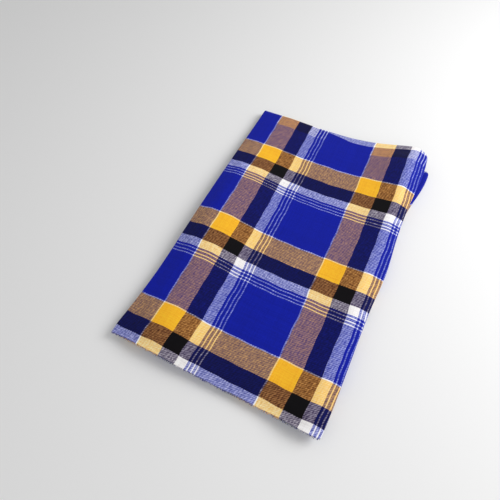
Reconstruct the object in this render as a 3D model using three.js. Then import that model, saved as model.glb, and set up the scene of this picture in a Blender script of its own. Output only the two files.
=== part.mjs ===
// A checked shuka, folded in four across and in three along, lying on a flat surface.
// Millimetres. +X runs across the folded cloth, +Y along it to the far fold, +Z up.
import * as THREE from "three";

const { smoothstep, lerp } = THREE.MathUtils;

// The cloth, and how close its layers lie where it is pressed flat
const CLOTH_THICK = 1.0;
const LAYER_PITCH = 1.5;
const LAYER_COUNT = 4;
const PANEL_PITCH = 6.0;

// The folded outline
const LEFT_EDGE = -185;
const RIGHT_EDGE = 194;
const FAR_EDGE = 312;
const NEAR_EDGE = -294;
const NEAR_FOLD = -283;
const NEAR_DROOP = 3;
const BOTTOM_END = 276;

// How far a fold's loop bulges: its radius, and this much more for each square millimetre
const ACROSS_FULLNESS = 0.6;
const ALONG_FULLNESS = 0.25;

// How the outline strays from a rectangle: a row for each push, with its centre, reach and size
const PUSHES = [
  { name: "left fold swings out", x: -185, y: -310, reachX: 80, reachY: 130, pushX: -9, pushY: 0 },
  { name: "near end swings left", x: -60, y: -310, reachX: 195, reachY: 55, pushX: -9, pushY: 0 },
  { name: "right fold bulges", x: 194, y: 15, reachX: 60, reachY: 60, pushX: 5, pushY: 0 },
  { name: "right fold widens", x: 194, y: 250, reachX: 60, reachY: 55, pushX: 5, pushY: 0 },
  { name: "far fold reaches out", x: 175, y: 310, reachX: 95, reachY: 95, pushX: 0, pushY: 19 },
];
const CORNER_RADIUS = 20;
const BOTTOM_SWING = { out: 14, fromY: 140, toY: 280 };

// Where the stack is loose and stands higher: a row for each swell,
// with its centre, its reach and its rise as a share of the pressed height
const SWELLS = [
  { name: "right fold", x: 185, y: 0, reachX: 61, reachY: 900, rise: 0.78 },
  { name: "far right corner", x: 185, y: 270, reachX: 102, reachY: 132, rise: 1.08 },
  { name: "beside the left fold", x: -123, y: -64, reachX: 71, reachY: 234, rise: 0.91 },
  { name: "left fold", x: -180, y: 43, reachX: 58, reachY: 148, rise: 0.57 },
  { name: "near end", x: -90, y: -270, reachX: 75, reachY: 90, rise: 0.27 },
  { name: "hollow in the middle", x: 40, y: 0, reachX: 80, reachY: 160, rise: -0.07 },
];
const EDGE_EASE = { reach: 32, right: 0.45, left: 0.3, far: 0.2 };

// The runs of cloth from fold to fold, in the order the cloth takes them: a row for each run.
// level counts from the underside, and heading is 1 to the right or far side and -1 back again.
const ACROSS_RUNS = [
  { name: "lower inner layer", level: 1, heading: 1 },
  { name: "upper inner layer", level: 2, heading: -1 },
  { name: "top layer", level: 3, heading: 1 },
  { name: "bottom layer", level: 0, heading: -1 },
];
const ALONG_RUNS = [
  { name: "top panel", level: 2, heading: 1, swing: 0 },
  { name: "middle panel", level: 1, heading: -1, swing: 0 },
  { name: "bottom panel", level: 0, heading: 1, swing: 1 },
];

// How finely the sheet is divided
const RUN_STEPS_ACROSS = 9;
const RUN_STEPS_ALONG = 11;
const OVERHANG_STEPS = 2;
const LOOP_STEPS = 5;

const COLOUR = 0x1d2690;

const loopReach = (radius, fullness) => radius + fullness * radius * radius;

// Worked out from the driving sizes
const HALF_THICK = CLOTH_THICK / 2;
const MID_LEVEL = (LAYER_COUNT - 1) / 2;
const PANEL_HALF = MID_LEVEL * LAYER_PITCH;
const PANEL_THICK = 2 * PANEL_HALF + CLOTH_THICK;
const LEFT_TURN = LEFT_EDGE + HALF_THICK + loopReach(LAYER_PITCH / 2, ACROSS_FULLNESS);
const RIGHT_TURN = RIGHT_EDGE - HALF_THICK - loopReach(PANEL_HALF, ACROSS_FULLNESS);
const OUTER_LOOP = loopReach(PANEL_PITCH / 2 + PANEL_HALF, ALONG_FULLNESS) + HALF_THICK;
const FAR_TURN = FAR_EDGE - OUTER_LOOP;
const NEAR_TURN = NEAR_FOLD + OUTER_LOOP;

// Places from one end of a run to the other
function evenStops(from, to, steps) {
  return Array.from({ length: steps + 1 }, (_, k) => lerp(from, to, k / steps));
}

// The same, closer together towards both ends
function easedStops(from, to, steps) {
  return evenStops(0, Math.PI, steps).map((turn) => lerp(from, to, (1 - Math.cos(turn)) / 2));
}

// The angles inside a loop, from its first run's end to the start of the next
function loopAngles() {
  return evenStops(0, Math.PI, LOOP_STEPS).slice(1, -1);
}

// The cloth's section across the fold: places x and t, with t the height above the panel's middle
function acrossPath() {
  const path = [];
  ACROSS_RUNS.forEach((run, k) => {
    const t = (run.level - MID_LEVEL) * LAYER_PITCH;
    const stops = easedStops(LEFT_TURN, RIGHT_TURN, RUN_STEPS_ACROSS);
    if (run.heading < 0) stops.reverse();
    stops.forEach((x) => path.push({ x, t, heading: run.heading }));
    const next = ACROSS_RUNS[k + 1];
    if (!next) return;
    const nextT = (next.level - MID_LEVEL) * LAYER_PITCH;
    const radius = (t - nextT) / 2;
    const reach = loopReach(Math.abs(radius), ACROSS_FULLNESS) * run.heading;
    loopAngles().forEach((angle) => path.push({
      x: stops.at(-1) + reach * Math.sin(angle),
      t: (t + nextT) / 2 + radius * Math.cos(angle),
      heading: run.heading,
    }));
  });
  return path;
}

// The places along one run, on the grid that all panels share
function alongStops(run) {
  const shared = evenStops(NEAR_TURN, FAR_TURN, RUN_STEPS_ALONG);
  if (run.heading < 0) return shared.reverse();
  if (run.swing) return [...shared.slice(0, -1), BOTTOM_END];
  return [...evenStops(NEAR_EDGE, NEAR_TURN, OVERHANG_STEPS).slice(0, -1), ...shared];
}

// The panels' back-and-forth path along the cloth: each place tells where a layer at t lies
function alongPath() {
  const path = [];
  ALONG_RUNS.forEach((run, k) => {
    const { heading, swing } = run;
    const middle = PANEL_THICK / 2 + run.level * PANEL_PITCH;
    const stops = alongStops(run);
    stops.forEach((y) => path.push({ heading, swing, at: (t) => [y, middle + heading * t] }));
    const next = ALONG_RUNS[k + 1];
    if (!next) return;
    const turnY = stops.at(-1);
    const centre = middle - PANEL_PITCH / 2;
    loopAngles().forEach((angle) => path.push({
      heading,
      swing: next.swing,
      at: (t) => {
        const radius = PANEL_PITCH / 2 + heading * t;
        const reach = loopReach(radius, ALONG_FULLNESS) * heading;
        return [turnY + reach * Math.sin(angle), centre + radius * Math.cos(angle)];
      },
    }));
  });
  return path;
}

// How strongly a swell or push is felt at one place in plan, 1 at its centre
function felt(row, x, y) {
  return Math.exp(-(((x - row.x) / row.reachX) ** 2) - ((y - row.y) / row.reachY) ** 2);
}

// How loosely the layers lie at one place in plan, 1 where they are pressed flat
function looseness(x, y) {
  const { reach, right, left, far } = EDGE_EASE;
  const swell = SWELLS.reduce((sum, row) => sum + row.rise * felt(row, x, y), 0);
  const eased = (1 - right * smoothstep(x, RIGHT_EDGE - reach, RIGHT_EDGE))
    * (1 - left * smoothstep(-x, -LEFT_EDGE - reach, -LEFT_EDGE))
    * (1 - far * smoothstep(y, FAR_EDGE - reach, FAR_EDGE));
  return 1 + swell * eased;
}

// The far right corner of the folds is round in plan
function roundCorner(x, y) {
  const a = Math.max(0, (x - RIGHT_EDGE) / CORNER_RADIUS + 1);
  const b = Math.max(0, (y - FAR_EDGE) / CORNER_RADIUS + 1);
  return [
    x - CORNER_RADIUS * a * (1 - Math.sqrt(1 - b * b / 2)),
    y - CORNER_RADIUS * b * (1 - Math.sqrt(1 - a * a / 2)),
  ];
}

// One place of the flat fold, moved to where the cloth really lies
function settle(flatX, flatY, flatZ, swing) {
  const [roundX, roundY] = roundCorner(flatX, flatY);
  const swung = swing * smoothstep(roundY, BOTTOM_SWING.fromY, BOTTOM_SWING.toY);
  const push = (key) => PUSHES.reduce((sum, row) => sum + row[key] * felt(row, roundX, roundY), 0);
  const x = roundX + push("pushX") + BOTTOM_SWING.out * swung;
  const y = roundY + push("pushY");
  const loose = looseness(x, y);
  const droop = NEAR_DROOP * loose * smoothstep(-flatY, -NEAR_TURN, -NEAR_EDGE);
  return new THREE.Vector3(x, y, HALF_THICK + (flatZ - HALF_THICK) * loose - droop);
}

// The sheet's middle surface: a row of places for each step along, a place for each step across
function middleSurface(across, along) {
  return along.map((row) => across.map((place) => {
    const [y, z] = row.at(place.t);
    return settle(place.x, y, z, row.swing);
  }));
}

// The direction straight out of the sheet at one place
function outward(surface, j, i) {
  const row = surface[j];
  const acrossStep = row[Math.min(i + 1, row.length - 1)].clone().sub(row[Math.max(i - 1, 0)]);
  const after = surface[Math.min(j + 1, surface.length - 1)][i];
  const alongStep = after.clone().sub(surface[Math.max(j - 1, 0)][i]);
  return acrossStep.cross(alongStep).normalize();
}

// The closed sheet: both faces of the middle surface, and a rim around them
function sheetGeometry() {
  const across = acrossPath();
  const along = alongPath();
  const surface = middleSurface(across, along);
  const columns = across.length;
  const faceSize = columns * along.length;
  const positions = [];
  [HALF_THICK, -HALF_THICK].forEach((offset) => surface.forEach((row, j) => row.forEach((place, i) => {
    positions.push(...place.clone().addScaledVector(outward(surface, j, i), offset).toArray());
  })));

  const index = [];
  const addQuad = (a, b, c, d) => index.push(a, b, c, a, c, d);
  for (let j = 0; j + 1 < along.length; j += 1) {
    for (let i = 0; i + 1 < columns; i += 1) {
      const [a, b] = [j * columns + i, j * columns + i + 1];
      const [d, c] = [a + columns, b + columns];
      const under = [a, b, c, d].map((corner) => corner + faceSize);
      // The diagonal keeps one direction in plan, so that stacked layers stay apart
      if (across[i].heading === along[j].heading) {
        addQuad(a, b, c, d);
        addQuad(under[2], under[1], under[0], under[3]);
      } else {
        addQuad(b, c, d, a);
        addQuad(under[3], under[2], under[1], under[0]);
      }
    }
  }
  const lastRow = faceSize - columns;
  for (let i = 0; i + 1 < columns; i += 1) {
    addQuad(i + 1, i, i + faceSize, i + 1 + faceSize);
    addQuad(lastRow + i, lastRow + i + 1, lastRow + i + 1 + faceSize, lastRow + i + faceSize);
  }
  for (let start = 0; start < lastRow; start += columns) {
    const end = start + columns - 1;
    addQuad(start, start + columns, start + columns + faceSize, start + faceSize);
    addQuad(end + columns, end, end + faceSize, end + columns + faceSize);
  }

  const geometry = new THREE.BufferGeometry();
  geometry.setAttribute("position", new THREE.Float32BufferAttribute(positions, 3));
  geometry.setIndex(index);
  geometry.computeBoundingBox();
  const box = geometry.boundingBox;
  const middle = box.getCenter(new THREE.Vector3());
  geometry.translate(-middle.x, -middle.y, -box.min.z);
  geometry.computeVertexNormals();
  return geometry;
}

const cloth = new THREE.Mesh(
  sheetGeometry(),
  new THREE.MeshStandardMaterial({ color: COLOUR, roughness: 0.9, metalness: 0 }),
);
cloth.name = "shuka_cloth";

const shuka = new THREE.Group();
shuka.add(cloth);

export default shuka;
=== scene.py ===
import math

import bpy
import numpy as np
from mathutils import Matrix, Vector


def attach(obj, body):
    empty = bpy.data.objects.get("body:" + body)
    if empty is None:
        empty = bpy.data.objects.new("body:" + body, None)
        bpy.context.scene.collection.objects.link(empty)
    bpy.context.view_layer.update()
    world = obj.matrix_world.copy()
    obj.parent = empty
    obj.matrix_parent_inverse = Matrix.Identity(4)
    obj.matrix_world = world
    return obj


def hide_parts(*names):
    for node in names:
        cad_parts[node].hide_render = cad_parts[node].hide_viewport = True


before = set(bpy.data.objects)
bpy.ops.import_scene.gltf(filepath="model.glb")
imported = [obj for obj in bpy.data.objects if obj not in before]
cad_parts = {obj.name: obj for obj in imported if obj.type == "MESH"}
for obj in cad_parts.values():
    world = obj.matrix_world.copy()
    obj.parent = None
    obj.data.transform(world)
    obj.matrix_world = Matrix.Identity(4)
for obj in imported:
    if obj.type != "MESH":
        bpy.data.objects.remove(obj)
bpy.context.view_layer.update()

# A checked shuka, folded in four across and in three along.
# Sizes are in millimetres, in the frame of the fold, until the mesh is made.
MM = 0.001

# The cloth, and how close its layers lie where it is pressed flat
CLOTH_THICK = 1.0
LAYER_PITCH = 1.5
LAYER_COUNT = 4
PANEL_PITCH = 6.0

# The folded outline
LEFT_EDGE, RIGHT_EDGE = -185, 194
NEAR_EDGE, FAR_EDGE = -294, 312
NEAR_FOLD = -283
NEAR_DROOP = 3.0
BOTTOM_END = 276

# How far a fold's loop bulges: its radius, and this much more for each square millimetre
ACROSS_FULLNESS = 0.6
ALONG_FULLNESS = 0.25

# How the outline strays from a rectangle: centre, reach and push of each stray
PUSHES = [
    {"what": "left fold swings out", "at": (-185, -310), "reach": (80, 130), "push": (-9, 0)},
    {"what": "right fold bulges", "at": (194, 15), "reach": (60, 60), "push": (5, 0)},
    {"what": "right fold widens", "at": (194, 250), "reach": (60, 55), "push": (5, 0)},
    {"what": "far fold reaches out", "at": (175, 310), "reach": (95, 95), "push": (0, 19)},
    {"what": "near end swings left", "at": (-60, -310), "reach": (195, 55), "push": (-9, 0)},
]
CORNER_RADIUS = 20
BOTTOM_SWING = {"out": 14, "from_y": 140, "to_y": 280}

# Where the loose stack stands higher: centre, reach, and rise as a share of the pressed height
SWELLS = [
    {"what": "right fold", "at": (185, 0), "reach": (61, 900), "rise": 0.78},
    {"what": "far right corner", "at": (185, 270), "reach": (102, 132), "rise": 1.08},
    {"what": "beside the left fold", "at": (-123, -64), "reach": (71, 234), "rise": 0.91},
    {"what": "left fold", "at": (-180, 43), "reach": (58, 148), "rise": 0.57},
    {"what": "near end", "at": (-90, -270), "reach": (75, 90), "rise": 0.27},
    {"what": "hollow in the middle", "at": (40, 0), "reach": (80, 160), "rise": -0.07},
]
# Towards its edges the stack keeps this much less of that looseness
EDGE_EASE = {"reach": 32, "right": 0.45, "left": 0.3, "far": 0.2}

# Shallow ripples over the whole stack: the wave's run across and along for one turn, where it
# starts, and its rise as a share of the pressed height
RIPPLES = [
    {"across": 310, "along": 190, "start": 0.4, "rise": 0.030},
    {"across": -150, "along": 260, "start": 2.1, "rise": 0.022},
    {"across": 95, "along": -140, "start": 4.0, "rise": 0.012},
    {"across": 60, "along": 75, "start": 1.2, "rise": 0.006},
]

# The runs of cloth from fold to fold, in the order that the cloth takes them. level counts from
# the underside, heading is 1 to the right or far side and -1 back, steps is how finely a run is
# divided, room is its share of the baked picture for each step, short is how far a selvedge stops
# short of the fold beside it, and swing is 1 where the panel swings out at the far right.
ACROSS_RUNS = [
    {"what": "lower inner layer", "level": 1, "heading": 1, "steps": 24, "room": 0.3, "short": 4.0},
    {"what": "upper inner layer", "level": 2, "heading": -1, "steps": 24, "room": 0.3, "short": 0.0},
    {"what": "top layer", "level": 3, "heading": 1, "steps": 84, "room": 1.0, "short": 0.0},
    {"what": "bottom layer", "level": 0, "heading": -1, "steps": 24, "room": 0.5, "short": 1.0},
]
ALONG_RUNS = [
    {"what": "top panel", "level": 2, "heading": 1, "steps": 104, "room": 1.0, "swing": 0},
    {"what": "middle panel", "level": 1, "heading": -1, "steps": 44, "room": 0.4, "swing": 0},
    {"what": "bottom panel", "level": 0, "heading": 1, "steps": 44, "room": 0.4, "swing": 1},
]
TOP_PANEL, MIDDLE_PANEL, BOTTOM_PANEL = 0, 1, 2
LOOP_STEPS = {"tight": 7, "wide": 14}
LOOP_ROOM = 0.8
OVERHANG_STEPS = 18

# How far each layer's cut end stops short of the top layer's, by level from the underside, and how
# far back from the bottom end that is felt
CUT_END_SHORT = (0.8, 3.2, 1.6, 0.0)
CUT_END_REACH = 80
# Cut ends and selvedges stray in waves: how far, over what run, and how far on each level's wave is
CUT_END_WAVES = [
    {"stray": 0.7, "run": 37, "level_on": 1.9},
    {"stray": 0.35, "run": 11, "level_on": 1.0},
]
SELVEDGE_WAVES = [
    {"stray": 1.6, "run": 61, "level_on": 2.4},
    {"stray": 1.6 / 3, "run": 23, "level_on": 1.0},
]

# The check's thread count, the same both ways, and the threads' spacing
THREADS = [
    ("white", 2),
    ("yellow", 39),
    ("black", 29),
    ("white", 17),
    ("blue", 4),
    ("fine white", 2),
    ("blue", 5),
    ("fine white", 2),
    ("blue", 4),
    ("fine white", 2),
    ("blue", 97),
]
REPEAT = sum(count for _, count in THREADS)
WARP_PITCH = 1.104
WEFT_PITCH = 1.027
# Past this weft thread, at the far fold, the check goes straight on to its white band, this many
# threads early, and in the threads just before it the weft is beaten less closely
EARLY_WHITE = {"past": -97, "threads": 19}
LOOSE_WEFT = {"past": -68, "less": 0.20}
# The thread that lies at the middle of the fold's frame on the top layer
MIDDLE_WARP = 127.1
MIDDLE_WEFT = 203.5

# Where the threads bow or the fold is askew: the first and last panel that it's felt in, its centre
# and reach in the fold's frame, and how many warp and weft threads they are off there
BOWS = [
    {
        "what": "far end sags back",
        "panels": (TOP_PANEL, MIDDLE_PANEL),
        "at": (52, 308),
        "reach": (62, 45),
        "off": (0.0, -13.0),
    },
    {
        "what": "far corner stretched",
        "panels": (TOP_PANEL, MIDDLE_PANEL),
        "at": (185, 320),
        "reach": (58, 50),
        "off": (0.0, 8.0),
    },
    {
        "what": "bottom fold askew",
        "panels": (BOTTOM_PANEL, BOTTOM_PANEL),
        "at": (190, 300),
        "reach": (900, 220),
        "off": (22.0, 0.0),
    },
]
# Woven threads never run quite straight: how many crossing threads one wave takes, where it starts,
# and how many threads it strays. The weft's waves start this many threads on from the warp's.
WEFT_WAVER_ON = 60
WAVERS = [
    {"turn": 38, "start": 0.3, "stray": 0.35},
    {"turn": 91, "start": 1.7, "stray": 0.45},
    {"turn": 157, "start": 4.1, "stray": 0.50},
]
# The middle panel lies a little fuller than it looks, in ripples too shallow to show
MIDDLE_PANEL_FULLNESS = 1.06

# Dyed yarns: shown colours from 0 to 255, and how much each one covers of the yarns that it crosses
YARNS = {
    "blue": {"shown": (18, 31, 151), "cover": 0.92},
    "yellow": {"shown": (255, 183, 46), "cover": 0.93},
    "black": {"shown": (14, 11, 15), "cover": 0.97},
    "white": {"shown": (247, 243, 243), "cover": 0.75},
    "fine white": {"shown": (230, 231, 255), "cover": 0.55},
}

# The photographed view: where the lens points, how far it is, and how it is turned
AIM = (-48.7, -48.1, 24.5)
DISTANCE = 762.4
AZIMUTH, ELEVATION, ROLL = 28.71, 61.69, -2.80
LENS, SENSOR = 28.8, 36.0

# Worked out from the values above
HALF_THICK = CLOTH_THICK / 2
MID_LEVEL = (LAYER_COUNT - 1) / 2
PANEL_HALF = MID_LEVEL * LAYER_PITCH
PANEL_THICK = 2 * PANEL_HALF + CLOTH_THICK


def loop_reach(radius, fullness):
    """How far a fold's loop reaches past the place where it starts to turn."""
    return radius + fullness * radius * radius


LEFT_TURN = LEFT_EDGE + HALF_THICK + loop_reach(LAYER_PITCH / 2, ACROSS_FULLNESS)
RIGHT_TURN = RIGHT_EDGE - HALF_THICK - loop_reach(PANEL_HALF, ACROSS_FULLNESS)
OUTER_LOOP = loop_reach(PANEL_PITCH / 2 + PANEL_HALF, ALONG_FULLNESS) + HALF_THICK
FAR_TURN = FAR_EDGE - OUTER_LOOP
NEAR_TURN = NEAR_FOLD + OUTER_LOOP


# The fold

def smoothstep(value, start, end):
    """0 before start, 1 after end, and a smooth climb between them."""
    share = np.clip((value - start) / (end - start), 0, 1)
    return share * share * (3 - 2 * share)


def eased_stops(start, end, steps):
    """Places from start to end, closer together towards both ends."""
    even = np.linspace(0, 1, steps + 1)
    eased = (1 - np.cos(math.pi * even)) / 2
    return start + (end - start) * ((even + eased) / 2)


def loop_angles(steps):
    """Angles round a half turn, without its two ends."""
    return np.linspace(0, math.pi, steps + 1)[1:-1]


def across_path():
    """The section across the fold.

    For each place: x, height t over the panel's middle, level, room in the baked picture, how
    strongly a selvedge's trim is felt, and how far that selvedge stops short.
    """
    path = []
    span = RIGHT_TURN - LEFT_TURN
    for k, run in enumerate(ACROSS_RUNS):
        t = (run["level"] - MID_LEVEL) * LAYER_PITCH
        stops = eased_stops(LEFT_TURN, RIGHT_TURN, run["steps"])[:: run["heading"]]
        for x in stops:
            raw = (RIGHT_TURN - x) / span if run["short"] else 0.0
            path.append((x, t, run["level"], run["room"], raw, run["short"]))
        if k + 1 == len(ACROSS_RUNS):
            break
        following = ACROSS_RUNS[k + 1]
        next_t = (following["level"] - MID_LEVEL) * LAYER_PITCH
        radius = (t - next_t) / 2
        reach = loop_reach(abs(radius), ACROSS_FULLNESS) * run["heading"]
        wide = abs(radius) > LAYER_PITCH / 2
        for angle in loop_angles(LOOP_STEPS["wide" if wide else "tight"]):
            share = angle / math.pi
            level = run["level"] * (1 - share) + following["level"] * share
            x = stops[-1] + reach * math.sin(angle)
            height = (t + next_t) / 2 + radius * math.cos(angle)
            path.append((x, height, level, LOOP_ROOM, 0.0, 0.0))
    return np.array(path).T


def along_stops(run):
    """The places along one panel."""
    if run["heading"] < 0:
        return eased_stops(FAR_TURN, NEAR_TURN, run["steps"])
    if run["swing"]:
        return eased_stops(NEAR_TURN, BOTTOM_END, run["steps"])
    overhang = np.linspace(NEAR_EDGE, NEAR_TURN, OVERHANG_STEPS + 1)[:-1]
    return np.concatenate([overhang, eased_stops(NEAR_TURN, FAR_TURN, run["steps"])])


def along_path(t):
    """The panels' back-and-forth path along the cloth, for layers at heights t over their middle.

    Gives each row's y and z for every layer, and its panel, swing and room in the baked picture.
    """
    ys, zs, facts = [], [], []
    for k, run in enumerate(ALONG_RUNS):
        heading = run["heading"]
        middle = PANEL_THICK / 2 + run["level"] * PANEL_PITCH
        stops = along_stops(run)
        for y in stops:
            ys.append(np.full_like(t, y))
            zs.append(middle + heading * t)
            facts.append((k, run["swing"], run["room"]))
        if k + 1 == len(ALONG_RUNS):
            break
        for angle in loop_angles(LOOP_STEPS["wide"]):
            radius = PANEL_PITCH / 2 + heading * t
            ys.append(stops[-1] + heading * loop_reach(radius, ALONG_FULLNESS) * math.sin(angle))
            zs.append(middle - PANEL_PITCH / 2 + radius * math.cos(angle))
            facts.append((k + 0.5, ALONG_RUNS[k + 1]["swing"], LOOP_ROOM))
    return np.array(ys), np.array(zs), np.array(facts).T


def felt(row, x, y):
    """How strongly a swell or push is felt at a place in plan, 1 at its centre."""
    across, along = row["at"]
    reach_x, reach_y = row["reach"]
    return np.exp(-(((x - across) / reach_x) ** 2) - ((y - along) / reach_y) ** 2)


def looseness(x, y):
    """How loosely the layers lie at a place in plan, about 1 where they are pressed flat."""
    reach = EDGE_EASE["reach"]
    swell = sum(row["rise"] * felt(row, x, y) for row in SWELLS)
    eased = (1 - EDGE_EASE["right"] * smoothstep(x, RIGHT_EDGE - reach, RIGHT_EDGE))
    eased = eased * (1 - EDGE_EASE["left"] * smoothstep(-x, -LEFT_EDGE - reach, -LEFT_EDGE))
    eased = eased * (1 - EDGE_EASE["far"] * smoothstep(y, FAR_EDGE - reach, FAR_EDGE))
    ripple = sum(
        row["rise"] * np.sin(2 * math.pi * (x / row["across"] + y / row["along"]) + row["start"])
        for row in RIPPLES
    )
    return 1 + swell * eased + ripple


def round_corner(x, y):
    """The far right corner of the folds is round in plan."""
    a = np.maximum(0, (x - RIGHT_EDGE) / CORNER_RADIUS + 1)
    b = np.maximum(0, (y - FAR_EDGE) / CORNER_RADIUS + 1)
    return (
        x - CORNER_RADIUS * a * (1 - np.sqrt(1 - b * b / 2)),
        y - CORNER_RADIUS * b * (1 - np.sqrt(1 - a * a / 2)),
    )


def settle(flat_x, flat_y, flat_z, swing):
    """The flat fold's places, moved to where the cloth really lies."""
    x, y = round_corner(flat_x, flat_y)
    swung = swing * smoothstep(y, BOTTOM_SWING["from_y"], BOTTOM_SWING["to_y"])
    push_x = sum(row["push"][0] * felt(row, x, y) for row in PUSHES)
    push_y = sum(row["push"][1] * felt(row, x, y) for row in PUSHES)
    x, y = x + push_x + BOTTOM_SWING["out"] * swung, y + push_y
    loose = looseness(x, y)
    droop = NEAR_DROOP * loose * smoothstep(-flat_y, -NEAR_TURN, -NEAR_EDGE)
    return np.stack([x, y, HALF_THICK + (flat_z - HALF_THICK) * loose - droop], axis=-1)


def straying(waves, place, level):
    """How far an edge strays at a place along it."""
    return sum(
        row["stray"] * np.sin(place / row["run"] + row["level_on"] * level) for row in waves
    )


def trimmed(x, y, across, along):
    """The layers' selvedges and cut ends don't lie flush: each stops a little short, unevenly."""
    _, _, level, _, raw, short = across
    panel = along[0][:, None]
    selvedge_wave = straying(SELVEDGE_WAVES, y, level)
    x = x + raw * (short + np.where(short > 0, selvedge_wave, 0))
    end_short = np.interp(level, range(LAYER_COUNT), CUT_END_SHORT)
    end_wave = straying(CUT_END_WAVES, x, level)
    near = (panel == TOP_PANEL) * np.clip((NEAR_TURN - y) / (NEAR_TURN - NEAR_EDGE), 0, 1)
    far = (panel == BOTTOM_PANEL) * smoothstep(y, BOTTOM_END - CUT_END_REACH, BOTTOM_END)
    return x, y + (near - far) * (end_short + end_wave)


def waver(number):
    """How far a thread strays where it crosses the thread with this number."""
    return sum(
        row["stray"] * np.sin(2 * math.pi * number / row["turn"] + row["start"]) for row in WAVERS
    )


class FoldedSheet:
    """The sheet's middle surface as a grid of places, a row for each step along the cloth."""

    def __init__(self):
        self.across = across_path()
        t = self.across[1]
        y, z, self.along = along_path(t)
        self.flat_y = y[:, 0]
        x = np.broadcast_to(self.across[0], y.shape)
        x, y = trimmed(x, y, self.across, self.along)
        self.places = settle(x, y, z, self.along[1][:, None])
        self.outward = self.straight_out()
        self.threads = self.thread_numbers()

    def straight_out(self):
        """The way straight out of the cloth's front at each place."""
        step_across = np.gradient(self.places, axis=1)
        step_along = np.gradient(self.places, axis=0)
        out = np.cross(step_across, step_along)
        return out / np.linalg.norm(out, axis=-1, keepdims=True)

    def thread_numbers(self):
        """Which warp and weft thread lies at each place, counted from the top layer's middle."""
        steps = np.linalg.norm(np.diff(self.places, axis=1), axis=-1)
        width = np.pad(np.cumsum(steps, axis=1), ((0, 0), (1, 0)))
        steps = np.linalg.norm(np.diff(self.places, axis=0), axis=-1)
        steps[self.along[0, 1:] == MIDDLE_PANEL] *= MIDDLE_PANEL_FULLNESS
        length = np.pad(np.cumsum(steps, axis=0), ((1, 0), (0, 0)))
        top = np.flatnonzero(self.across[2] == LAYER_COUNT - 1)
        top_panel = np.flatnonzero(self.along[0] == TOP_PANEL)
        for row in width:
            row -= np.interp(0, self.across[0, top], row[top])
        for column in length.T:
            column -= np.interp(0, self.flat_y[top_panel], column[top_panel])
        warp = MIDDLE_WARP + width / WARP_PITCH
        weft = MIDDLE_WEFT - length / WEFT_PITCH
        for row in BOWS:
            first, last = row["panels"]
            there = ((self.along[0] >= first) & (self.along[0] <= last))[:, None]
            bowed = there * felt(row, self.places[..., 0], self.places[..., 1])
            warp = warp + row["off"][0] * bowed
            weft = weft + row["off"][1] * bowed
        return np.stack([warp + waver(weft), weft + waver(warp + WEFT_WAVER_ON)], axis=-1)


# Meshes

# Where the cloth's front and back lie up the baked picture, and the margin beside them
BAKE_MARGIN = 0.012
BAKE_FRONT = (0.14, 0.985)
BAKE_BACK = (0.02, 0.10)

# Edges that turn by more than this many degrees, such as the cut rim's, stay crisp
CRISP_ANGLE = 50


def picture_map(sheet):
    """Where each place lies in the baked picture, with most room for the cloth that shows."""
    shares = []
    for room in (sheet.across[3], sheet.along[2]):
        between = (room[1:] + room[:-1]) / 2
        shares.append(np.concatenate([[0], np.cumsum(between)]) / between.sum())
    across = BAKE_MARGIN * 2 + (1 - 4 * BAKE_MARGIN) * shares[0]
    front = BAKE_FRONT[0] + (BAKE_FRONT[1] - BAKE_FRONT[0]) * shares[1]
    back = BAKE_BACK[0] + (BAKE_BACK[1] - BAKE_BACK[0]) * shares[1]
    return (
        np.stack(np.meshgrid(across, front), axis=-1),
        np.stack(np.meshgrid(across, back), axis=-1),
    )


def grid_quads(rows, columns):
    """The corners of each cell of a grid, counted row by row."""
    start = np.arange(rows * columns).reshape(rows, columns)
    corners = [start[:-1, :-1], start[:-1, 1:], start[1:, 1:], start[1:, :-1]]
    return np.stack(corners, axis=-1).reshape(-1, 4)


def rim_edges(rows, columns):
    """Pairs of neighbouring places round the grid's rim, with the way out of the picture there."""
    index = np.arange(rows * columns).reshape(rows, columns)
    sides = [
        (index[0, ::-1], (0, -1)),
        (index[-1], (0, 1)),
        (index[:, 0], (-1, 0)),
        (index[::-1, -1], (1, 0)),
    ]
    for line, way in sides:
        for a, b in zip(line[:-1], line[1:]):
            yield a, b, way


def write_map(mesh, name, corners):
    """A map on the mesh, from the place of each face's corners."""
    layer = mesh.uv_layers.new(name=name)
    layer.data.foreach_set("uv", np.asarray(corners, np.float32).ravel())


def sheet_mesh(sheet, centre):
    """The closed sheet: both faces of the middle surface, and a rim around them."""
    rows, columns = sheet.places.shape[:2]
    size = rows * columns
    front = (sheet.places + HALF_THICK * sheet.outward).reshape(-1, 3)
    back = (sheet.places - HALF_THICK * sheet.outward).reshape(-1, 3)
    corners = (np.concatenate([front, back]) - centre) * MM
    quads = grid_quads(rows, columns)
    front_map, back_map = (m.reshape(-1, 2) for m in picture_map(sheet))
    faces = [quads, quads[:, ::-1] + size]
    pictures = [front_map[quads], back_map[quads[:, ::-1]]]
    rim, rim_pictures = [], []
    for a, b, way in rim_edges(rows, columns):
        out = BAKE_MARGIN * np.array(way)
        start, end = front_map[a], front_map[b]
        rim.append((a, b, b + size, a + size))
        rim_pictures.append((start, end, end + out, start + out))
    faces = np.concatenate(faces + [np.array(rim)])
    pictures = np.concatenate(pictures + [np.array(rim_pictures)])
    mesh = bpy.data.meshes.new("shuka_cloth")
    mesh.from_pydata(corners.tolist(), [], faces.tolist())
    threads = np.concatenate([sheet.threads.reshape(-1, 2)] * 2)
    write_map(mesh, "threads", threads[faces])
    write_map(mesh, "OFBake", pictures)
    mesh.polygons.foreach_set("use_smooth", np.ones(len(faces), bool))
    mesh.set_sharp_from_angle(angle=math.radians(CRISP_ANGLE))
    mesh.update()
    return mesh


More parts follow.
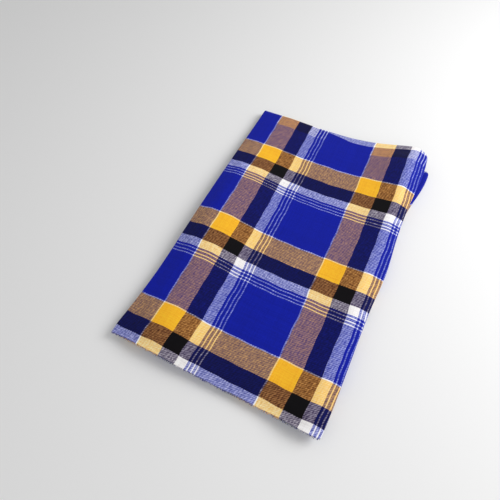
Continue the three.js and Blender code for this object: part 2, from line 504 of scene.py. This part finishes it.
# Cut yarn ends: how far apart they are, their least and greatest length, their radius, how far
# they are sunk into the cloth, how much they splay, droop and curl, how many sides they have, the
# taper from root to tip, the weft threads that one is as long as, and the gap that they keep to the
# surface below
END_SEED = 7
END_SPACING = 1.7
END_LENGTH = (0.8, 4.0)
END_RADIUS = 0.38
END_SUNK = 0.3
END_SPLAY = 0.45
END_DROOP = 0.6
END_CURL = 0.5
END_SIDES = 4
END_TAPER = (1.0, 0.9, 0.45)
END_THREADS = 2
END_GAP = 0.02


def spread(rows, along, at):
    """What rows given along a line are at other places on it."""
    return np.stack([np.interp(at, along, column) for column in rows.T], axis=-1)


def end_roots(places, inner, outward, threads):
    """Evenly spaced roots along one cut end: place, way out, way up and thread numbers of each."""
    steps = np.linalg.norm(np.diff(places, axis=0), axis=-1)
    along = np.concatenate([[0], np.cumsum(steps)])
    at = np.arange(END_SPACING, along[-1], END_SPACING)
    out = spread(places - inner, along, at)
    out /= np.linalg.norm(out, axis=-1, keepdims=True)
    return [spread(places, along, at), out, spread(outward, along, at), spread(threads, along, at)]


def yarn_ends_mesh(sheet, centre):
    """Short tapered stubs of warp yarn along both cut ends."""
    chances = np.random.default_rng(END_SEED)
    corners, faces, threads = [], [], []
    rings = len(END_TAPER)
    turn = np.linspace(0, 2 * math.pi, END_SIDES, endpoint=False)
    for end, inner in ((0, 1), (-1, -2)):
        edge, behind = sheet.places[end], sheet.places[inner]
        roots = end_roots(edge, behind, sheet.outward[end], sheet.threads[end])
        for root, out, up, (warp, weft) in zip(*roots):
            side = np.cross(out, up)
            long = chances.uniform(*END_LENGTH)
            splay = side * chances.normal(0, END_SPLAY)
            lean = splay - up * abs(chances.normal(0, END_SPLAY)) * END_DROOP
            first = len(corners)
            for k, taper in enumerate(END_TAPER):
                share = k / (rings - 1)
                middle = root + out * (long * share - END_SUNK) + lean * long * share * share * END_CURL
                middle[2] = max(middle[2], END_RADIUS + END_GAP)
                for angle in turn:
                    round_it = side * math.cos(angle) + up * math.sin(angle)
                    corners.append(middle + END_RADIUS * taper * round_it)
                    threads.append((warp, weft + END_THREADS * share))
            for k in range(rings - 1):
                for n in range(END_SIDES):
                    a = first + k * END_SIDES + n
                    b = first + k * END_SIDES + (n + 1) % END_SIDES
                    faces.append((a, b, b + END_SIDES, a + END_SIDES))
            last = first + (rings - 1) * END_SIDES
            faces.append(tuple(range(last, last + END_SIDES)))
    faces = np.array(faces)
    mesh = bpy.data.meshes.new("cut_yarn_ends")
    mesh.from_pydata(((np.array(corners) - centre) * MM).tolist(), [], faces.tolist())
    write_map(mesh, "threads", np.array(threads)[faces])
    mesh.polygons.foreach_set("use_smooth", np.ones(len(faces), bool))
    mesh.update()
    return mesh


# Materials

# Which of the mix node's sockets are its two colours
MIX_FIRST, MIX_SECOND = 6, 7


class Wire:
    """A shader socket that can be used in Python sums."""

    def __init__(self, tree, socket):
        self.tree = tree
        self.socket = socket

    def maths(self, operation, *others):
        return self.tree.maths(operation, [self, *others])

    def __add__(self, other):
        return self.maths("ADD", other)

    def __radd__(self, other):
        return self + other

    def __sub__(self, other):
        return self.maths("SUBTRACT", other)

    def __rsub__(self, other):
        return self.tree.maths("SUBTRACT", [other, self])

    def __mul__(self, other):
        return self.maths("MULTIPLY", other)

    def __rmul__(self, other):
        return self * other

    def __truediv__(self, other):
        return self.maths("DIVIDE", other)

    def __lt__(self, other):
        return self.maths("LESS_THAN", other)

    def floor(self):
        return self.maths("FLOOR")

    def fract(self):
        return self.maths("FRACT")


class Tree:
    """A material's nodes."""

    def __init__(self, name):
        self.material = bpy.data.materials.new(name)
        self.material.use_nodes = True
        self.nodes = self.material.node_tree.nodes
        self.links = self.material.node_tree.links
        self.shader = self.nodes["Principled BSDF"]

    def node(self, kind, settings=None, sockets=None):
        """A new node's outputs. Its settings are set first, then its sockets by name or in order."""
        made = self.nodes.new(kind)
        for key, value in (settings or {}).items():
            if key == "stops":
                self.set_stops(made.color_ramp, value)
            else:
                setattr(made, key, value)
        named = sockets if isinstance(sockets, dict) else dict(enumerate(sockets or []))
        for key, value in named.items():
            self.feed(made.inputs[key], value)
        return {s.name: Wire(self, s) for s in made.outputs if s.enabled}

    def feed(self, socket, value):
        """A socket's value, or what is wired to it."""
        if isinstance(value, Wire):
            self.links.new(value.socket, socket)
        else:
            socket.default_value = value

    def set_stops(self, ramp, stops):
        """A ramp's colours, each from its own place to the next."""
        ramp.interpolation = "CONSTANT"
        for k, (place, colour) in enumerate(stops):
            stop = ramp.elements[0] if k == 0 else ramp.elements.new(place)
            stop.position = place
            stop.color = colour
        ramp.elements.remove(ramp.elements[-1])

    def maths(self, operation, values):
        return self.node("ShaderNodeMath", {"operation": operation}, values)["Value"]

    def vector_maths(self, operation, values):
        return self.node("ShaderNodeVectorMath", {"operation": operation}, values)["Vector"]

    def mix(self, share, first, second):
        """Two colours mixed, by this share of the second."""
        sockets = {"Factor": share, MIX_FIRST: first, MIX_SECOND: second}
        return self.node("ShaderNodeMix", {"data_type": "RGBA"}, sockets)["Result"]

    def surface(self, **sockets):
        """What the shader's sockets are fed, each by its name. Gives the material."""
        for name, value in sockets.items():
            self.feed(self.shader.inputs[name.replace("_", " ").title()], value)
        return self.material


BLACK, WHITE = (0.0, 0.0, 0.0), (1.0, 1.0, 1.0)
FULL_CHANNEL = 255
# A colour ramp is kept as samples from 0 to this number, so each thread of the repeat gets its own
RAMP_SAMPLES = 255


def thread_stops():
    """The check's colours, with cover as their alpha, each from its first thread on."""
    stops, first = [], 0
    for yarn, count in THREADS:
        dye = [channel / FULL_CHANNEL for channel in YARNS[yarn]["shown"]]
        place = max(0.0, (first - 0.5) / RAMP_SAMPLES)
        stops.append((place, (*dye, YARNS[yarn]["cover"])))
        first += count
    return stops


# How far the weft lies over the warp on the whole, and how much the thinnest warp yarn still covers
WEFT_LEAD = 0.547
LEAST_WARP_COVER = 0.65
# How much the crossings, the slanting ribs and the bunches show, and how much of that shows as
# colour and how much as light and dark
CROSSINGS_SHOW = 0.20
RIBS_SHOW = 0.18
BUNCHES_SHOW = 0.38
HUE_SHOWS = 0.5
LIGHT_SHOWS = 0.50
# How uneven the yarns and their dye are, as a share of their brightness, and how much painted shade
# darkens the hollows between the round yarns
BUNCHES_DARK = 0.07
YARN_UNEVEN = 0.12
PAINTED_GAP_SHADE = 0.10
FADE_UNEVEN = 0.07
FUZZ_UNEVEN = 0.3
FUZZ_DARKEST = 0.82
# The power that turns a shown colour into light
SHOWN_GAMMA = 2.2
# Painted shade between the yarns: light and dark yarns side by side are painted duller than their
# mean, as the shade between them, by this much of each channel: the less blue they are, up to this
# blue, the more so, and less so over a blue warp
PAINTED_SHADE_TINT = (0.0, -0.065, 0.19)
DULL_BLUE = 0.75
BLUE_WARP_CLEAR = 0.75

# The twill: each warp yarn goes over two weft yarns and under two, one further on than the yarn
# beside it
TWILL_REPEAT = 4
TWILL_OVER = 2
# Broad ribs slant across it: how many weft yarns they rise for each warp yarn, how many they take
# to repeat, and how far they waver, in repeats
RIB_RISE, RIB_REPEAT = 3, 14
RIB_WAVER = 1.2
# A bunch of thicker yarns: how many threads wide and long
BUNCH_WIDE, BUNCH_LONG = 2.8, 8.0

# Soft noise over the cloth: about how many threads across it is, or bunches for the bunch, and how
# many finer layers it has
CLOUDS = {
    "rib waver": {"size": 11, "detail": 1.0},
    "bunch": {"size": 1, "detail": 2.0},
    "fade": {"size": 75, "detail": 2.0},
    "pucker": {"size": 14, "detail": 2.0},
    "fuzz": {"size": 0.6, "detail": 2.0},
}

# Heights over the cloth, in millimetres, and how strongly a bare yarn's fuzz shows
YARN_HEIGHT = 0.10
PUCKER_HEIGHT = 0.35
FUZZ_HEIGHT = 0.2
FUZZ_STRENGTH = 0.6

# The finish: how rough at least, how much rougher where it is uneven, and the soft gloss of cotton
CLOTH_ROUGH = {"least": 0.80, "more": 0.15}
YARN_ROUGH = {"least": 0.85, "more": 0.1}
COTTON_GLOSS = {"Specular IOR Level": 0.15, "Sheen Weight": 0.04, "Sheen Roughness": 0.5}

# The mean height of a round crown, and a place between whole numbers to draw a yarn's chance at
CROWN_MEAN = 2 / 3
CHANCE_PLACE = 0.37


def chance(tree, number):
    """An even chance from 0 to 1 for each whole number."""
    sockets = {"W": number + CHANCE_PLACE}
    return tree.node("ShaderNodeTexWhiteNoise", {"noise_dimensions": "1D"}, sockets)["Value"]


def cloudy(tree, place, which):
    """Soft noise from 0 to 1, of one of the kinds above."""
    cloud = CLOUDS[which]
    sockets = {"Vector": place, "Scale": 1 / cloud["size"], "Detail": cloud["detail"]}
    return tree.node("ShaderNodeTexNoise", {"noise_dimensions": "2D"}, sockets)["Fac"]


def scaled(tree, colour, tone):
    """A colour made lighter or darker."""
    return tree.vector_maths("SCALE", {0: colour, "Scale": tone})


def tinted(tree, colour, tint, amount):
    """A colour with this amount of a tint added."""
    return tree.vector_maths("MULTIPLY_ADD", [amount, tint, colour])


def within_range(tree, colour):
    """A colour kept between black and white."""
    return tree.vector_maths("MINIMUM", [tree.vector_maths("MAXIMUM", [colour, BLACK]), WHITE])


def as_light(tree, colour):
    """The light that a shown colour stands for."""
    sockets = {"Color": colour, "Gamma": SHOWN_GAMMA}
    return tree.node("ShaderNodeGamma", None, sockets)["Color"]


def brightness(tree, colour):
    return tree.node("ShaderNodeRGBToBW", None, [colour])["Val"]


def blueness(tree, colour):
    return tree.node("ShaderNodeSeparateColor", None, [colour])["Blue"]


def crown(place):
    """How high a round yarn stands across its width, from 0 at its sides to 1."""
    off = place.fract() * 2 - 1
    return 1 - off * off


def raised(tree, height, unit, strength):
    """The way that the surface faces with this height on it, in a unit of this many metres."""
    sockets = {"Strength": strength, "Distance": unit, "Height": height}
    return tree.node("ShaderNodeBump", None, sockets)["Normal"]


def thread_places(tree):
    """The thread coordinates, whole and as the warp and weft number."""
    threads = tree.node("ShaderNodeUVMap", {"uv_map": "threads"})["UV"]
    parts = tree.node("ShaderNodeSeparateXYZ", None, [threads])
    return threads, parts["X"], parts["Y"]


def dyed_yarn(tree, number):
    """Colour and cover of the yarn with this number, a little uneven from yarn to yarn."""
    place = ((number + 0.5) / REPEAT).fract() * (REPEAT / RAMP_SAMPLES)
    dye = tree.node("ShaderNodeValToRGB", {"stops": thread_stops()}, [place])
    tone = chance(tree, number) * YARN_UNEVEN + (1 - YARN_UNEVEN / 2)
    return scaled(tree, dye["Color"], tone), dye["Alpha"]


def bunches(tree, warp, weft):
    """Where thicker yarns bunch, from about -0.5 to 0.5, in short streaks along warp and weft."""
    streaks = []
    for across, along in ((BUNCH_WIDE, BUNCH_LONG), (BUNCH_LONG, BUNCH_WIDE)):
        spot = tree.node("ShaderNodeCombineXYZ", None, [warp / across, weft / along])["Vector"]
        streaks.append(cloudy(tree, spot, "bunch"))
    return streaks[0] - streaks[1]


def side_by_side(tree, warp_dye, weft_dye, share, uneven):
    """The colour of warp and weft together, by the warp's share and how uneven the weave is there, with
    painted shade where light and dark yarns lie side by side.
    """
    warp_light = brightness(tree, warp_dye)
    weft_lighter = brightness(tree, weft_dye) - warp_light
    mixed = tree.mix(share, weft_dye, warp_dye)
    warp_blue = (blueness(tree, warp_dye) - warp_light).maths("MAXIMUM", 0.0)
    dull = DULL_BLUE - blueness(tree, mixed) - warp_blue * BLUE_WARP_CLEAR
    contrast = weft_lighter.maths("ABSOLUTE")
    # Painted shade: a dull tint where light and dark yarns lie side by side
    colour = tinted(tree, mixed, PAINTED_SHADE_TINT, contrast * dull.maths("MAXIMUM", 0.0))
    return tinted(tree, colour, WHITE, weft_lighter * uneven * LIGHT_SHOWS)


def finish_cotton(tree):
    """The gloss that is the same all over the cloth."""
    for name, value in COTTON_GLOSS.items():
        tree.shader.inputs[name].default_value = value


def woven_check():
    """The twill cloth: warp and weft yarns in the check's colours, in slanting ribs."""
    tree = Tree("woven_check")
    threads, warp, weft = thread_places(tree)
    warp_no, weft_no = warp.floor(), weft.floor()

    # The weave, and how unevenly the weft shows over the warp
    warp_over = ((warp_no + weft_no) / TWILL_REPEAT).fract() < TWILL_OVER / TWILL_REPEAT
    wavering = cloudy(tree, threads, "rib waver") * RIB_WAVER
    rib = crown((warp * RIB_RISE + weft) / RIB_REPEAT + wavering)
    bunch = bunches(tree, warp, weft)
    shift = warp_over * -CROSSINGS_SHOW + rib * -RIBS_SHOW + bunch * BUNCHES_SHOW
    uneven = shift + (CROSSINGS_SHOW / 2 + RIBS_SHOW * CROWN_MEAN)

    # The yarns, and the warp's share of what shows
    early = weft_no < EARLY_WHITE["past"]
    warp_dye, warp_cover = dyed_yarn(tree, warp_no)
    weft_dye, weft_cover = dyed_yarn(tree, weft_no - early * EARLY_WHITE["threads"])
    loose = (weft_no < LOOSE_WEFT["past"]) - early
    lead = uneven * HUE_SHOWS - loose * LOOSE_WEFT["less"] + WEFT_LEAD
    warp_part = warp_cover.maths("MAXIMUM", LEAST_WARP_COVER) * (1 - lead)
    share = warp_part / (warp_part + weft_cover * lead)

    # The colour, with painted shade darker between the yarns, and darker where the dye has faded
    # unevenly
    rounded = warp_over * crown(warp) + (1 - warp_over) * crown(weft)
    fade = cloudy(tree, threads, "fade")
    # The yarns' sides are painted darker than their crowns, as painted shade in the hollows between
    # them
    dark = bunch * BUNCHES_DARK + rounded * PAINTED_GAP_SHADE + fade * FADE_UNEVEN
    tone = dark + (1 - (PAINTED_GAP_SHADE + FADE_UNEVEN) / 2)
    colour = side_by_side(tree, warp_dye, weft_dye, share, uneven)
    colour = within_range(tree, scaled(tree, colour, tone))

    # The surface: round yarns on shallow puckers
    height = rounded * YARN_HEIGHT + cloudy(tree, threads, "pucker") * PUCKER_HEIGHT
    finish_cotton(tree)
    return tree.surface(
        base_color=as_light(tree, colour),
        roughness=fade * CLOTH_ROUGH["more"] + CLOTH_ROUGH["least"],
        normal=raised(tree, height, MM, 1.0),
    )


def yarn_ends_finish():
    """The bare warp yarns at the cut ends."""
    tree = Tree("cut_yarn")
    threads, warp, _ = thread_places(tree)
    fuzz = cloudy(tree, threads, "fuzz")
    dye, _ = dyed_yarn(tree, warp.floor())
    colour = scaled(tree, dye, fuzz * FUZZ_UNEVEN + FUZZ_DARKEST)
    finish_cotton(tree)
    return tree.surface(
        base_color=as_light(tree, colour),
        roughness=fuzz * YARN_ROUGH["more"] + YARN_ROUGH["least"],
        normal=raised(tree, fuzz, FUZZ_HEIGHT * MM, FUZZ_STRENGTH),
    )


# The cloth, the floor, the light and the view

def place_piece(name, mesh, finish):
    """A new piece of the cloth, in its place."""
    piece = bpy.data.objects.new(name, mesh)
    bpy.context.collection.objects.link(piece)
    mesh.materials.append(finish)
    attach(piece, "root")
    return piece


def place_cloth():
    """The folded sheet and its cut yarn ends. Gives the middle of the fold's frame."""
    sheet = FoldedSheet()
    low = sheet.places.reshape(-1, 3).min(axis=0)
    high = sheet.places.reshape(-1, 3).max(axis=0)
    centre = np.array([(low[0] + high[0]) / 2, (low[1] + high[1]) / 2, 0.0])
    cloth = place_piece("folded_shuka", sheet_mesh(sheet, centre), woven_check())
    ends = place_piece("cut_yarn_ends", yarn_ends_mesh(sheet, centre), yarn_ends_finish())
    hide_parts("shuka_cloth")
    return centre


# The pale floor: its side in metres, its tone and how rough it is
FLOOR_SIZE = 12.0
FLOOR_TONE = (0.86, 0.86, 0.86, 1.0)
FLOOR_ROUGHNESS = 0.9


def place_floor():
    half = FLOOR_SIZE / 2
    corners = [(-half, -half, 0), (half, -half, 0), (half, half, 0), (-half, half, 0)]
    mesh = bpy.data.meshes.new("floor")
    mesh.from_pydata(corners, [], [(0, 1, 2, 3)])
    floor = bpy.data.objects.new("floor", mesh)
    bpy.context.collection.objects.link(floor)
    finish = Tree("pale_floor").surface(base_color=FLOOR_TONE, roughness=FLOOR_ROUGHNESS)
    mesh.materials.append(finish)


# Softboxes: where each one hangs, its side in metres and its power in watts
SOFTBOXES = [
    {"what": "key", "at": (1.15, 0.75, 1.15), "side": 1.0, "power": 23.5},
    {"what": "fill", "at": (0.5, -1.6, 1.6), "side": 1.6, "power": 4},
]
SKY_TONE, SKY_STRENGTH = (1.0, 1.0, 1.0, 1.0), 0.48


def place_light():
    bpy.context.scene.view_settings.view_transform = "Standard"
    for row in SOFTBOXES:
        light = bpy.data.lights.new(row["what"], "AREA")
        light.size = row["side"]
        light.energy = row["power"]
        box = bpy.data.objects.new(row["what"], light)
        box.location = row["at"]
        box.rotation_euler = (-Vector(row["at"])).to_track_quat("-Z", "Y").to_euler()
        bpy.context.collection.objects.link(box)
    world = bpy.data.worlds.new("studio")
    world.use_nodes = True
    sky = world.node_tree.nodes["Background"]
    sky.inputs["Color"].default_value = SKY_TONE
    sky.inputs["Strength"].default_value = SKY_STRENGTH
    bpy.context.scene.world = world


def place_camera(centre):
    """The camera, aimed at a place in the fold's frame."""
    lens = bpy.data.cameras.new("view")
    lens.lens = LENS
    lens.sensor_width = SENSOR
    lens.sensor_fit = "HORIZONTAL"
    camera = bpy.data.objects.new("view", lens)
    bpy.context.collection.objects.link(camera)
    azimuth, elevation = math.radians(AZIMUTH), math.radians(ELEVATION)
    away = Vector((
        math.cos(elevation) * math.sin(azimuth),
        -math.cos(elevation) * math.cos(azimuth),
        math.sin(elevation),
    ))
    aim = (Vector(AIM) - Vector(centre)) * MM
    place = Matrix.Translation(aim + away * DISTANCE * MM)
    turn = away.to_track_quat("Z", "Y").to_matrix().to_4x4()
    roll = Matrix.Rotation(math.radians(ROLL), 4, "Z")
    camera.matrix_world = place @ turn @ roll
    bpy.context.scene.camera = camera


middle = place_cloth()
place_floor()
place_light()
place_camera(middle)
